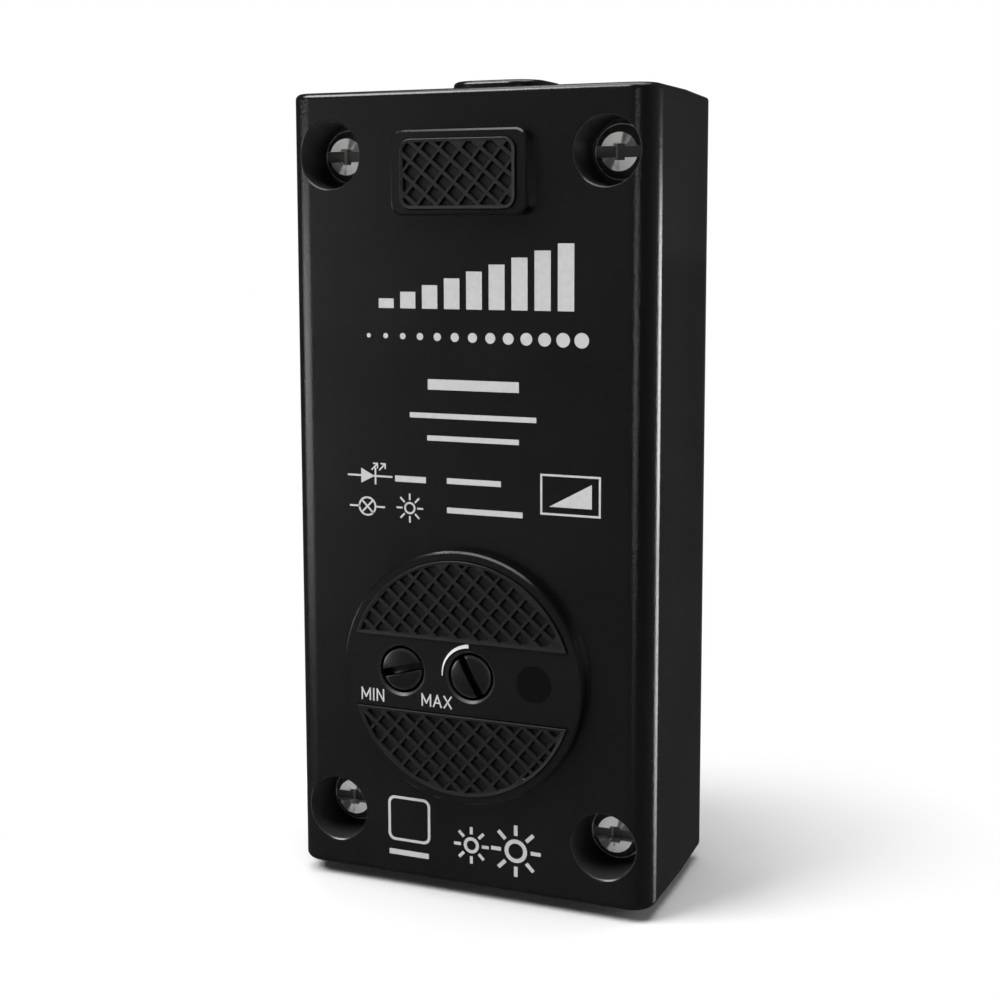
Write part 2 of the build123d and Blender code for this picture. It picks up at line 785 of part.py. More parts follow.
def transistor_holes():
    """The screw holes in the transistors' tabs."""
    z = transistor_low() + transistor_body + transistor_tab / 2
    return [(x, z) for x in transistor_middles()]


def make_transistors():
    """Two power transistors flat on the heat sink, with their leads bent down to the board."""
    low = transistor_low()
    seat = board_top_y + sink_thickness
    half = transistor_width / 2
    parts = []
    for x, hole_z in transistor_holes():
        body = block((x - half, x + half), (seat, seat + transistor_thickness), (low, low + transistor_body))
        tab = block((x - half, x + half), (seat, seat + transistor_tab_thickness),
                    (low + transistor_body, low + transistor_body + transistor_tab))
        tab -= rod(board_screw_radius + screw_play, seat, seat + transistor_tab_thickness, x, hole_z)
        part = body + tab
        for i in (-1, 0, 1):
            lead_x = x + i * lead_pitch
            sides = around(lead_x, lead_size)
            lead_y = seat + transistor_thickness / 2
            part += block(sides, (lead_y, lead_y + lead_size), (low - lead_reach, low))
            foot = low - lead_reach
            part += block(sides, (board_top_y, lead_y + lead_size), (foot - lead_size, foot))
        parts.append(part)
    return parts


def make_transistor_screws():
    """The screws through the transistors' tabs."""
    seat = board_top_y + sink_thickness + transistor_tab_thickness
    screw = small_board_screw(seat - board_top_y)
    return [Pos(x, seat, z) * screw for x, z in transistor_holes()]


def make_film_capacitor():
    """The moulded box of the mains capacitor."""
    right = board_side - film_from_side
    z = body_middle - film_below_middle
    box = block((right - film_width, right), (board_top_y, board_top_y + film_height),
                around(z, film_length))
    return chamfer(box.edges().filter_by(Axis.Y), film_corner)


def make_electrolytic_capacitor():
    """A can that lies along Z beside the potentiometer."""
    can = Cylinder(can_radius, can_length)
    can = chamfer(can.edges().group_by(Axis.Z)[-1], can_bevel)
    low = board_lower_edge + board_screw_inset + board_screw_head_radius + can_from_screw
    return Pos(board_side - can_from_side - can_radius, board_top_y + can_radius, low + can_length / 2) * can


def make_choke_core():
    """The interference choke's ring core, a wire's width above the board."""
    low = board_top_y + wire_size
    core = rod(choke_outer, low, low + choke_height, -corner_part_across, corner_part_z)
    return core - rod(choke_inner, low, low + choke_height, -corner_part_across, corner_part_z)


def make_choke_winding():
    """The choke's turns, as loops round the core's section."""
    low = board_top_y
    high = low + choke_height + 2 * wire_size
    gap = wire_size - wire_play
    loop = block((choke_inner - wire_size, choke_outer + wire_size), (low, high), around(0, wire_size))
    loop -= block((choke_inner - wire_play, choke_outer + wire_play), (low + gap, high - gap),
                  around(0, 2 * wire_size))
    return [Pos(-corner_part_across, 0, corner_part_z) * Rot(0, 360 * i / choke_turns, 0) * loop
            for i in range(choke_turns)]


def make_fuse():
    """The small round fuse."""
    top = board_top_y + fuse_height
    body = rod(fuse_radius, board_top_y, top, corner_part_across, corner_part_z)
    return chamfer(edges_at_y(body, top), fuse_bevel)


def make_control_chip():
    """The controller on the board's underside, with a row of leads on either side."""
    z = body_middle + chip_above_middle
    top = board_y - chip_gap
    chip = block(around(0, chip_length), (board_y - chip_height, top), around(z, chip_width))
    lead_y = (board_y - chip_height + top) / 2
    end = chip_width / 2 + chip_lead_reach
    for i in range(chip_leads):
        x = (i - (chip_leads - 1) / 2) * chip_lead_pitch
        sides = around(x, chip_lead_width)
        for side in (-1, 1):
            tip = sorted((z + side * (end - chip_lead_thickness), z + side * end))
            chip += block(sides, (lead_y, lead_y + chip_lead_thickness), sorted((z, z + side * end)))
            chip += block(sides, (lead_y, board_y), tip)
    return chip


def make_chip_resistors():
    """Small resistors in two rows on the board's underside."""
    resistors = []
    for above in resistor_rows_above_middle:
        for i in range(resistors_in_row):
            x = (i - (resistors_in_row - 1) / 2) * resistor_pitch
            z = body_middle + above
            resistors.append(block(around(x, resistor_length),
                                   (board_y - resistor_height, board_y),
                                   around(z, resistor_width)))
    return resistors


def make_parts():
    """Every piece of the dimmer by name."""
    parts = {
        "base_shell": make_base_shell(),
        "cover_shell": make_cover_shell(),
        "housing_screws": make_housing_screws(),
        "foot_pad_end": make_end_pad(),
        "clamp_screws": make_clamp_screws(),
        "circuit_board": make_board(),
        "board_screws": make_board_screws(),
        "pot_case": make_pot_case(),
        "pot_track": make_pot_track(),
        "pot_shaft": make_pot_shaft(),
        "pot_wiper": make_pot_wiper(),
        "pot_washer": make_pot_washer(),
        "pot_nut": make_pot_nut(),
        "control_knob": make_knob(),
        "terminal_cages": make_terminal_cages(),
        "terminal_screws": make_terminal_screws(),
        "heat_sink": make_heat_sink(),
        "power_transistors": make_transistors(),
        "transistor_screws": make_transistor_screws(),
        "film_capacitor": make_film_capacitor(),
        "electrolytic_capacitor": make_electrolytic_capacitor(),
        "choke_core": make_choke_core(),
        "choke_winding": make_choke_winding(),
        "fuse": make_fuse(),
        "control_chip": make_control_chip(),
        "chip_resistors": make_chip_resistors(),
    }
    for name, side in ends.items():
        parts["foot_pad_" + name] = make_foot_pad(name)
        parts["cord_bushing_" + name] = make_bushing(side)
        parts["cord_clamp_" + name] = make_clamp(side)
        parts["terminal_block_" + name] = make_terminal_block(*terminal_places[name])
    for name, x in trimmer_across.items():
        parts["trimmer_case_" + name] = make_trimmer_case(x)
        parts["trimmer_rotor_" + name] = make_trimmer_rotor(x, trimmer_slot_angle[name])
    return parts


def main():
    os.makedirs("parts", exist_ok=True)
    for name, shape in make_parts().items():
        solids = shape if isinstance(shape, list) else [shape]
        export_step(Compound(children=[piece.solid() for piece in solids]), "parts/" + name + ".step")


main()
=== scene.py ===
import json
import math

import bpy
import bmesh
from mathutils import Matrix, Vector
from mathutils.geometry import delaunay_2d_cdt


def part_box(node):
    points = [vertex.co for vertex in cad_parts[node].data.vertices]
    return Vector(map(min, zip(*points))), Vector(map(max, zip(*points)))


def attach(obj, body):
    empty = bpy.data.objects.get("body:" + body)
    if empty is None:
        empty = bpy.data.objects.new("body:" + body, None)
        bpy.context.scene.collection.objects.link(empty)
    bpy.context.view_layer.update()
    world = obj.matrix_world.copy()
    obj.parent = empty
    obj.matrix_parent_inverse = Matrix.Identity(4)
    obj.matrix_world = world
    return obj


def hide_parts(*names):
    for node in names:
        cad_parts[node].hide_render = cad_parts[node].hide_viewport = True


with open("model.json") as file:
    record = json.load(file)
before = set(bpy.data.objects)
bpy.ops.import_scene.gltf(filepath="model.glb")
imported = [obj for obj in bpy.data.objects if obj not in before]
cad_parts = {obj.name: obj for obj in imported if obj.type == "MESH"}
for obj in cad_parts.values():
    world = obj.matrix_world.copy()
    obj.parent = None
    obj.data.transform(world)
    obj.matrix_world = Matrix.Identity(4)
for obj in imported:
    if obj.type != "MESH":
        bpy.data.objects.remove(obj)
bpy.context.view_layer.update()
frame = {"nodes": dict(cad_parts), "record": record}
nodes = frame["nodes"]
MM = 0.001


def middle(node):
    low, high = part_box(node)
    return (low + high) / 2


# Places taken from the frame
MID_Z = middle("base_shell").z
BAND_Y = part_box("base_shell")[0].y         # the round foot's face, between its pads
PAD_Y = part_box("foot_pad_upper")[0].y
FOOT_Z = middle("control_knob").z
TRIMMER = {end: middle("trimmer_rotor_" + end) for end in ("min", "max")}
TRIMMER_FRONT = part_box("trimmer_rotor_min")[0].y
SCREW_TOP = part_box("housing_screws")[0].y

# Sizes of the housing that the frame doesn't give
FOOT_STAND = 1.45 * MM                     # the foot's face to the underside's plain face
BASE_Y = BAND_Y + FOOT_STAND
SCREW_X = 15.35 * MM                       # the housing screws' axes, from the body's middle
SCREW_Z = 35.45 * MM


# Materials
class Nodes:
    """A short way to write the node tree of a material or a world."""

    def __init__(self, owner, shader="Principled BSDF", space="Object"):
        owner.use_nodes = True
        self.owner = owner
        self.tree = owner.node_tree
        self.shader = self.tree.nodes[shader]
        self.place = self.add("ShaderNodeTexCoord").outputs[space]

    def add(self, kind, **values):
        node = self.tree.nodes.new(kind)
        for key, value in values.items():
            setattr(node, key, value)
        return node

    def link(self, source, target):
        """Joins an output to an input, or sets the input to a number or a colour."""
        if isinstance(source, tuple):
            target.default_value = (*source, 1)
        elif isinstance(source, (int, float)):
            target.default_value = source
        else:
            self.tree.links.new(source, target)

    def set(self, **values):
        for key, value in values.items():
            self.link(value, self.shader.inputs[key.replace("_", " ")])

    def math(self, operation, a, b=0.0):
        node = self.add("ShaderNodeMath", operation=operation)
        self.link(a, node.inputs[0])
        self.link(b, node.inputs[1])
        return node.outputs[0]

    def product(self, first, *others):
        for other in others:
            first = self.math("MULTIPLY", first, other)
        return first

    def ramp(self, value, low, high, out_low, out_high):
        node = self.add("ShaderNodeMapRange")
        names = ("Value", "From Min", "From Max", "To Min", "To Max")
        for name, source in zip(names, (value, low, high, out_low, out_high)):
            self.link(source, node.inputs[name])
        return node.outputs["Result"]

    def rise(self, value, limits):
        """0 before the first limit, 1 past the second."""
        return self.ramp(value, *limits, 0.0, 1.0)

    def fall(self, value, limits):
        return self.ramp(value, *limits, 1.0, 0.0)

    def noise(self, size, detail=2.0):
        node = self.add("ShaderNodeTexNoise")
        self.link(1 / size, node.inputs["Scale"])
        self.link(detail, node.inputs["Detail"])
        self.link(self.place, node.inputs["Vector"])
        return node.outputs["Fac"]

    def cloud(self, size):
        """Soft patches between 0 and 1."""
        return self.rise(self.noise(size, 3.0), (0.35, 0.65))

    def split(self):
        node = self.add("ShaderNodeSeparateXYZ")
        self.link(self.place, node.inputs[0])
        return node.outputs

    def reach(self, dx, dy):
        """The distance that two differences make."""
        return self.math("SQRT", self.math("ADD", self.product(dx, dx), self.product(dy, dy)))

    def from_axis(self, x, z):
        """The distance from an axis along Y."""
        place = self.split()
        return self.reach(self.math("SUBTRACT", place["X"], x), self.math("SUBTRACT", place["Z"], z))

    def blend(self, value, first, second):
        node = self.add("ShaderNodeMix", data_type="RGBA")
        for name, source in (("Factor", value), ("A", first), ("B", second)):
            self.link(source, node.inputs[name])
        return node.outputs["Result"]

    def bump(self, height, depth, strength=1.0):
        node = self.add("ShaderNodeBump")
        for name, source in (("Distance", depth), ("Strength", strength), ("Height", height)):
            self.link(source, node.inputs[name])
        return node.outputs["Normal"]

    def mix(self, value, first, second):
        node = self.add("ShaderNodeMixShader")
        for socket, source in zip(node.inputs, (value, first, second)):
            self.link(source, socket)
        return node.outputs[0]


def new_material(name):
    return Nodes(bpy.data.materials.new(name))


GRAIN_SIZE = 0.22 * MM
CLOUD_SIZE = 12 * MM
CLOUD_SHEEN = 0.01                         # how far the clouds move the roughness


def grained_plastic(name, rough):
    """Black moulded plastic with a fine grain."""
    m = new_material(name)
    cloud = m.cloud(CLOUD_SIZE)
    fine = m.noise(GRAIN_SIZE, 3.0)
    m.set(Base_Color=m.blend(cloud, (0.004, 0.004, 0.0041), (0.006, 0.006, 0.0062)))
    m.set(Roughness=m.math("ADD", m.ramp(fine, 0.3, 0.7, rough - 0.03, rough + 0.03),
                           m.ramp(cloud, 0, 1, -CLOUD_SHEEN, CLOUD_SHEEN)))
    m.set(Normal=m.bump(fine, 0.008 * MM))
    return m.owner


# Where the housing's finish and its painted light change: each pair is where the change begins and ends
WELL_RADIUS = (3.52 * MM, 3.62 * MM)
WELL_MOUTH_Y = (BASE_Y, BASE_Y + 0.1 * MM)
WELL_FLOOR_Y = (-5.0 * MM, -4.5 * MM)
SPOT_X = 8.3 * MM
SPOT_RADIUS = (1.9 * MM, 2.0 * MM)
SPOT_Y = BAND_Y + 0.1 * MM
LIP_INNER = (2.5 * MM, 2.62 * MM)          # the bevels round the trimmers' holes
LIP_OUTER = (2.76 * MM, 2.84 * MM)
LIP_Y = (BAND_Y + 0.3 * MM, BAND_Y + 0.5 * MM)
SIDE_START_Y = (-9.6 * MM, -9.2 * MM)
SIDE_END_Y = (7.0 * MM, 7.6 * MM)
EDGE_X = (17.3 * MM, 17.9 * MM)            # the underside's two long rounded edges
COVER_FACE_Y = (8.2 * MM, 8.6 * MM)
GRAIN_HEIGHT = 0.04 * MM
GRAIN_SHARE = {"plain": 0.3, "smooth": 0.045, "edge": 0.45}    # of that height; the edges' share is added


def housing_plastic():
    """The shells' plastic.

    Its grain is strongest on the long rounded edges and faint on the sides and in the round spot on the foot.
    The wells, the lips and the cover's face are duller than the rest. The lips are painted paler as a painted
    highlight, and the wells' walls as a painted reflection.
    """
    m = new_material("housing_plastic")
    x, y, z = m.split()
    across = m.math("ABSOLUTE", x)
    along = m.math("ABSOLUTE", m.math("SUBTRACT", z, MID_Z))
    well = m.reach(m.math("SUBTRACT", across, SCREW_X), m.math("SUBTRACT", along, SCREW_Z))
    well = m.product(m.fall(well, WELL_RADIUS), m.rise(y, WELL_MOUTH_Y), m.fall(y, WELL_FLOOR_Y))
    spot = m.fall(m.from_axis(SPOT_X, TRIMMER["max"].z), SPOT_RADIUS)
    spot = m.product(spot, m.math("LESS_THAN", y, SPOT_Y))
    away = [m.from_axis(centre.x, centre.z) for centre in TRIMMER.values()]
    rings = [m.product(m.rise(a, LIP_INNER), m.fall(a, LIP_OUTER)) for a in away]
    lip = m.product(m.math("MAXIMUM", *rings), m.fall(y, LIP_Y))
    side = m.product(m.rise(y, SIDE_START_Y), m.fall(y, SIDE_END_Y), m.math("SUBTRACT", 1.0, well))
    edge = m.product(m.rise(across, EDGE_X), m.fall(y, SIDE_START_Y))

    cloud = m.cloud(CLOUD_SIZE)
    colour = m.blend(cloud, (0.0036, 0.0036, 0.0037), (0.005, 0.005, 0.0051))
    # painted light: the lips get a paler colour as a painted highlight and the wells' walls as a painted reflection;
    # the spot's darker colour is its own
    for mask, paint in ((lip, (0.022, 0.022, 0.0225)), (well, (0.034, 0.034, 0.0345)),
                        (spot, (0.0026, 0.0026, 0.0027))):
        colour = m.blend(mask, colour, paint)
    m.set(Base_Color=colour, Specular_IOR_Level=m.ramp(spot, 0, 1, 0.5, 0.25))

    fine = m.noise(GRAIN_SIZE, 3.0)
    rough = m.math("ADD", m.ramp(fine, 0.3, 0.7, 0.17, 0.22), m.ramp(cloud, 0, 1, -CLOUD_SHEEN, CLOUD_SHEEN))
    for mask, change in ((side, -0.1), (m.rise(y, COVER_FACE_Y), 0.22), (lip, 0.15), (well, 0.12)):
        rough = m.math("ADD", rough, m.product(mask, change))
    share = m.ramp(m.math("MAXIMUM", spot, side), 0, 1, GRAIN_SHARE["plain"], GRAIN_SHARE["smooth"])
    share = m.math("ADD", share, m.product(edge, GRAIN_SHARE["edge"]))
    m.set(Roughness=rough, Normal=m.bump(fine, GRAIN_HEIGHT, share))
    return m.owner


METAL, PLAIN = 1.0, 0.0
SIMPLE_GRAIN = 0.3 * MM


def simple(name, dark, light, rough, metallic, cloud_size, depth=0.0):
    """A material whose colour and roughness vary a little over the surface."""
    m = new_material(name)
    cloud = m.cloud(cloud_size)
    m.set(Base_Color=m.blend(cloud, dark, light), Metallic=metallic)
    m.set(Roughness=m.ramp(cloud, 0, 1, rough * 0.9, rough * 1.1))
    if depth:
        m.set(Normal=m.bump(m.noise(SIMPLE_GRAIN), depth))
    return m.owner


SCREW_EDGE_Y = (SCREW_TOP + 0.05 * MM, SCREW_TOP + 0.1 * MM)
SCREW_RIM = (2.68 * MM, 2.78 * MM)
FAN_TURN = 2.18                            # where the painted highlight fans point, in radians
FAN_STREAKS = 9.0


def housing_screw_nickel():
    """Turned nickel with painted highlights standing in for its reflections: pale fans painted on the flat tops, pale
    slot walls and rims, dull bevels and slot floors.
    """
    m = new_material("housing_screw_nickel")
    x, y, z = m.split()
    z = m.math("SUBTRACT", z, MID_Z)
    dx = m.math("SUBTRACT", x, m.product(m.math("SIGN", x), SCREW_X))
    dz = m.math("SUBTRACT", z, m.product(m.math("SIGN", z), SCREW_Z))
    angle = m.math("ARCTAN2", dz, dx)
    # painted highlight: pale fans with streaks on the flat tops stand in for the turned metal's reflections
    painted_fan = m.math("COSINE", m.product(m.math("SUBTRACT", angle, FAN_TURN), 2.0))
    streaks = m.product(m.math("SINE", m.product(angle, FAN_STREAKS)), 0.4)
    blur = m.ramp(m.noise(0.6 * MM, 3.0), 0, 1, -0.5, 0.5)
    painted_fan = m.ramp(m.math("ADD", m.math("ADD", painted_fan, streaks), blur), -0.7, 0.1, 0.15, 1.0)
    normal = m.add("ShaderNodeSeparateXYZ")
    m.link(m.add("ShaderNodeNewGeometry").outputs["True Normal"], normal.inputs[0])
    facing = m.math("ABSOLUTE", normal.outputs["Y"])
    top = m.product(m.rise(facing, (0.9, 0.95)), m.fall(y, SCREW_EDGE_Y), painted_fan)
    # painted highlight on the slot walls and round the rims
    painted_wall_glint = m.ramp(facing, 0.3, 0.5, 0.8, 0.0)
    rim = m.ramp(m.reach(dx, dz), *SCREW_RIM, 0.0, 0.8)
    painted_glint = m.math("MAXIMUM", top, m.math("MAXIMUM", painted_wall_glint, rim))
    m.set(Base_Color=m.blend(painted_glint, (0.1, 0.1, 0.1), (0.95, 0.94, 0.92)))
    m.set(Metallic=m.ramp(painted_glint, 0, 1, 0.6, 0.05), Roughness=m.ramp(painted_glint, 0, 1, 0.22, 0.3))
    return m.owner


def pad_rubber():
    """Grip rubber with painted shade: paler on the ridges' tops than down in the pockets, in patches."""
    m = new_material("pad_rubber")
    top = m.rise(m.split()["Y"], (PAD_Y + GRIP_DEPTH, PAD_Y))
    # painted shade: the pockets are painted darker than the ridges' tops
    painted_ridge_light = m.product(top, m.ramp(m.noise(1.2 * MM, 3.0), 0.3, 0.7, 0.7, 1.0))
    m.set(Base_Color=m.blend(painted_ridge_light, (0.0016, 0.0016, 0.0017), (0.0042, 0.0042, 0.0044)))
    m.set(Roughness=m.ramp(m.noise(0.4 * MM), 0.3, 0.7, 0.4, 0.52))
    m.set(Specular_IOR_Level=m.ramp(top, 0.3, 1, 0.36, 0.5))
    m.set(Normal=m.bump(m.noise(0.12 * MM, 3.0), 0.006 * MM))
    return m.owner


ROTOR_RIM = (1.9 * MM, 2.15 * MM)
ROTOR_SLOT_Y = (TRIMMER_FRONT + 0.3 * MM, TRIMMER_FRONT + 0.7 * MM)


def trimmer_plastic():
    """The trimmers' heads: glossy, with a painted highlight round the rim and painted shade in the slot."""
    m = new_material("trimmer_plastic")
    away = [m.from_axis(centre.x, centre.z) for centre in TRIMMER.values()]
    # painted highlight: a paler ring round each rim
    rim = m.product(m.rise(m.math("MINIMUM", *away), ROTOR_RIM), m.ramp(m.noise(2 * MM), 0.4, 0.6, 0.5, 1.0))
    head_with_painted_rim = m.blend(rim, (0.006, 0.006, 0.0062), (0.026, 0.026, 0.0265))
    # painted shade: the slot's floor is painted nearly black
    slot = m.rise(m.split()["Y"], ROTOR_SLOT_Y)
    m.set(Base_Color=m.blend(slot, head_with_painted_rim, (0.001, 0.001, 0.001)))
    m.set(Roughness=m.ramp(m.noise(0.6 * MM), 0.3, 0.7, 0.14, 0.2))
    return m.owner


def finish_nodes():
    """Gives each node the material of its slot in the record."""
    by_slot = {
        "housing_plastic": housing_plastic(),
        "knob_plastic": grained_plastic("knob_plastic", 0.34),
        "bushing_rubber": grained_plastic("bushing_plastic", 0.2),
        "pad_rubber": pad_rubber(),
        "trimmer_plastic": trimmer_plastic(),
        "screw_steel": simple("screw_nickel", (0.6, 0.59, 0.57), (0.74, 0.73, 0.71),
                              0.2, METAL, 0.8 * MM, 0.006 * MM),
        "zinc_steel": simple("zinc_steel", (0.5, 0.52, 0.54), (0.68, 0.69, 0.7),
                             0.3, METAL, 2 * MM, 0.006 * MM),
        "brass": simple("brass", (0.62, 0.43, 0.17), (0.76, 0.56, 0.26), 0.28, METAL, 2 * MM),
        "aluminium": simple("aluminium", (0.62, 0.63, 0.65), (0.78, 0.79, 0.8), 0.35, METAL, 3 * MM),
        "board_laminate": simple("board_laminate", (0.015, 0.11, 0.045), (0.022, 0.15, 0.06),
                                 0.35, PLAIN, 3 * MM),
        "part_plastic": simple("part_epoxy", (0.012, 0.012, 0.013), (0.022, 0.022, 0.023),
                               0.5, PLAIN, 2 * MM, 0.01 * MM),
        "blue_plastic": simple("terminal_plastic", (0.02, 0.09, 0.26), (0.03, 0.12, 0.33),
                               0.4, PLAIN, 3 * MM),
        "yellow_plastic": simple("capacitor_plastic", (0.5, 0.3, 0.02), (0.62, 0.38, 0.03),
                                 0.3, PLAIN, 3 * MM),
        "ferrite": simple("ferrite", (0.035, 0.037, 0.036), (0.06, 0.062, 0.06),
                          0.6, PLAIN, 1 * MM, 0.02 * MM),
        "copper_wire": simple("copper_wire", (0.42, 0.13, 0.05), (0.55, 0.2, 0.09), 0.25, METAL, 1 * MM),
    }
    for row in frame["record"]["subparts"]:
        mesh = nodes[row["node"]].data
        mesh.materials.clear()
        mesh.materials.append(by_slot[row["material_slot"]])
    nodes["housing_screws"].data.materials[0] = housing_screw_nickel()
    return by_slot


# Pieces
def new_piece(name, bm, material, body):
    mesh = bpy.data.meshes.new(name)
    bm.to_mesh(mesh)
    bm.free()
    mesh.materials.append(material)
    piece = bpy.data.objects.new(name, mesh)
    bpy.context.scene.collection.objects.link(piece)
    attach(piece, body)
    return piece


ROTOR_DOME = 0.45 * MM * 1.02              # the depth that a trimmer's domed front takes up, with a little to spare
ROTOR_DOME_KEPT = 0.35                     # the share of it that is left
ROTOR_BEVEL = 0.06 * MM
SAME_VERTEX = 0.002 * MM
FLAT_ANGLE = math.radians(0.5)             # edges below it are dissolved
BEVEL_ANGLE = math.radians(28)             # edges above it are rounded
SHARP_ANGLE = math.radians(40)             # edges above it are shaded sharp


def rounded(node, body):
    """A copy of a node with its sharp edges rounded over and its dome made flatter, which stands for the node."""
    source = nodes[node].data
    bm = bmesh.new()
    bm.from_mesh(source)
    bmesh.ops.remove_doubles(bm, verts=bm.verts, dist=SAME_VERTEX)
    bmesh.ops.dissolve_limit(bm, angle_limit=FLAT_ANGLE, verts=bm.verts, edges=bm.edges)
    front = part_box(node)[0].y
    for vert in bm.verts:
        if vert.co.y < front + ROTOR_DOME:
            vert.co.y = front + (vert.co.y - front) * ROTOR_DOME_KEPT
    sharp = [e for e in bm.edges if len(e.link_faces) == 2 and e.calc_face_angle() > BEVEL_ANGLE]
    bmesh.ops.bevel(bm, geom=sharp, offset=ROTOR_BEVEL, segments=2, profile=0.5, affect="EDGES",
                    clamp_overlap=True)
    for face in bm.faces:
        face.smooth = True
    piece = new_piece("rounded_" + node, bm, source.materials[0], body)
    piece.data.set_sharp_from_angle(angle=SHARP_ANGLE)
    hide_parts(node)
    return piece


# Grip pads: pockets with sloped walls between two sets of crossing ridges, in millimetres but for the depths
GRIP_TURN = math.radians(49.8)
GRIP_PITCH = (1.5, 1.7)
GRIP_RIDGE = (0.38, 0.26)
GRIP_BORDER = 0.35
GRIP_SLOPE = 0.16                          # how far a pocket's floor is set in from its mouth
GRIP_SHIFT = {"end": (0.65, -0.33), "upper": (-0.26, 0.1), "lower": (0.17, 0.58)}
GRIP_SPAN = 12                             # more ridges to each side than any pad needs
GRIP_DEPTH = 0.4 * MM
LEAST_CELL = 0.02                          # areas, in square millimetres
LEAST_FLOOR = 0.005
PAD_RADIUS = 12.57
PAD_CHORD = 3.95
PAD_BEVEL = 0.06
PAD_BEVEL_DEPTH = 0.03 * MM
CELL_BEVEL_DEPTH = 0.05 * MM
END_PAD_CORNER = 1.2


def half_moon(radius, chord, side, steps=90):
    """A convex outline round the origin, from a straight edge, counter-clockwise."""
    start = math.asin(chord / radius)
    angles = [start + (math.pi - 2 * start) * i / steps for i in range(steps + 1)]
    points = [(radius * math.cos(a), radius * math.sin(a)) for a in angles]
    return points if side > 0 else [(-x, -z) for x, z in points]


def rounded_rectangle(width, height, corner, steps=8, centre=(0, 0)):
    points = []
    for k, (sx, sz) in enumerate(((1, 1), (-1, 1), (-1, -1), (1, -1))):
        corner_x = centre[0] + sx * (width / 2 - corner)
        corner_z = centre[1] + sz * (height / 2 - corner)
        for i in range(steps + 1):
            a = math.pi / 2 * (k + i / steps)
            points.append((corner_x + corner * math.cos(a), corner_z + corner * math.sin(a)))
    return points


def clip(outline, a, b, inset):
    """The part of an outline to the left of the line from a to b, moved in by inset."""
    length = math.hypot(b[0] - a[0], b[1] - a[1])
    nx, nz = -(b[1] - a[1]) / length, (b[0] - a[0]) / length
    level = nx * a[0] + nz * a[1] + inset
    kept = []
    for p, q in zip(outline, outline[1:] + outline[:1]):
        dp = nx * p[0] + nz * p[1] - level
        dq = nx * q[0] + nz * q[1] - level
        if dp >= 0:
            kept.append(p)
        if dp * dq < 0:
            t = dp / (dp - dq)
            kept.append((p[0] + (q[0] - p[0]) * t, p[1] + (q[1] - p[1]) * t))
    return kept


def inside(outline, limit, inset):
    """A convex outline cut to another convex outline that is moved in by inset."""
    for a, b in zip(limit, limit[1:] + limit[:1]):
        if len(outline) < 3:
            return []
        outline = clip(outline, a, b, inset)
    return outline


def area(outline):
    return sum(p[0] * q[1] - q[0] * p[1] for p, q in zip(outline, outline[1:] + outline[:1])) / 2


def grip_cells(limit, centre, shift):
    """The pockets' outlines over a pad whose lattice is centred at centre."""
    cells = []
    half = [(pitch - ridge) / 2 for pitch, ridge in zip(GRIP_PITCH, GRIP_RIDGE)]
    c, s = math.cos(GRIP_TURN), math.sin(GRIP_TURN)
    for i in range(-GRIP_SPAN, GRIP_SPAN):
        for k in range(-GRIP_SPAN, GRIP_SPAN):
            u = (i + 0.5) * GRIP_PITCH[0] + shift[0]
            v = (k + 0.5) * GRIP_PITCH[1] + shift[1]
            corners = [(u + a * half[0], v + b * half[1]) for a, b in ((-1, -1), (1, -1), (1, 1), (-1, 1))]
            cell = [(c * p - s * q + centre[0], s * p + c * q + centre[1]) for p, q in corners]
            cell = inside(cell, limit, GRIP_BORDER)
            if len(cell) > 2 and area(cell) > LEAST_CELL:
                cells.append(cell)
    return cells


def make_pad(name, outline, origin, centre, material):
    """One grip pad, in millimetres from origin; its lattice starts from centre."""
    points, edges, depths = [], [], []

    def ring(loop, depth):
        first = len(points)
        points.extend(Vector(p) for p in loop)
        depths.extend([depth] * len(loop))
        edges.extend((first + i, first + (i + 1) % len(loop)) for i in range(len(loop)))

    ring(outline, PAD_BEVEL_DEPTH)
    ring(inside(outline, outline, PAD_BEVEL), 0.0)
    for cell in grip_cells(outline, centre, GRIP_SHIFT[name]):
        ring(cell, CELL_BEVEL_DEPTH)
        floor = inside(cell, cell, GRIP_SLOPE)
        if len(floor) > 2 and area(floor) > LEAST_FLOOR:
            ring(floor, GRIP_DEPTH)
    verts, _, faces, origins, _, _ = delaunay_2d_cdt(points, edges, [], 1, 1e-5)
    back_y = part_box("foot_pad_" + name)[1].y
    bm = bmesh.new()
    made = []
    for vert, sources in zip(verts, origins):
        depth = depths[sources[0]] if sources else 0.0
        made.append(bm.verts.new(((origin[0] + vert.x) * MM, PAD_Y + depth, (origin[1] + vert.y) * MM)))
    for face in faces:
        bm.faces.new([made[i] for i in face])
    bmesh.ops.recalc_face_normals(bm, faces=bm.faces)
    if sum(f.normal.y * f.calc_area() for f in bm.faces) > 0:
        bmesh.ops.reverse_faces(bm, faces=bm.faces)
    rim = [e for e in bm.edges if len(e.link_faces) == 1]
    skirt = bmesh.ops.extrude_edge_only(bm, edges=rim)["geom"]
    for vert in (g for g in skirt if isinstance(g, bmesh.types.BMVert)):
        vert.co.y = back_y
    bmesh.ops.recalc_face_normals(bm, faces=bm.faces)
    piece = new_piece("grip_" + name, bm, material, "housing")
    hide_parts("foot_pad_" + name)
    return piece


def make_pads(material):
    for name, side in (("upper", 1), ("lower", -1)):
        centre = (0, side * (PAD_CHORD + PAD_RADIUS) / 2)
        make_pad(name, half_moon(PAD_RADIUS, PAD_CHORD, side), (0, FOOT_Z / MM), centre, material)
    low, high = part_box("foot_pad_end")
    outline = rounded_rectangle((high.x - low.x) / MM, (high.z - low.z) / MM, END_PAD_CORNER)
    make_pad("end", outline, (0, (low.z + high.z) / 2 / MM), (0, 0), material)


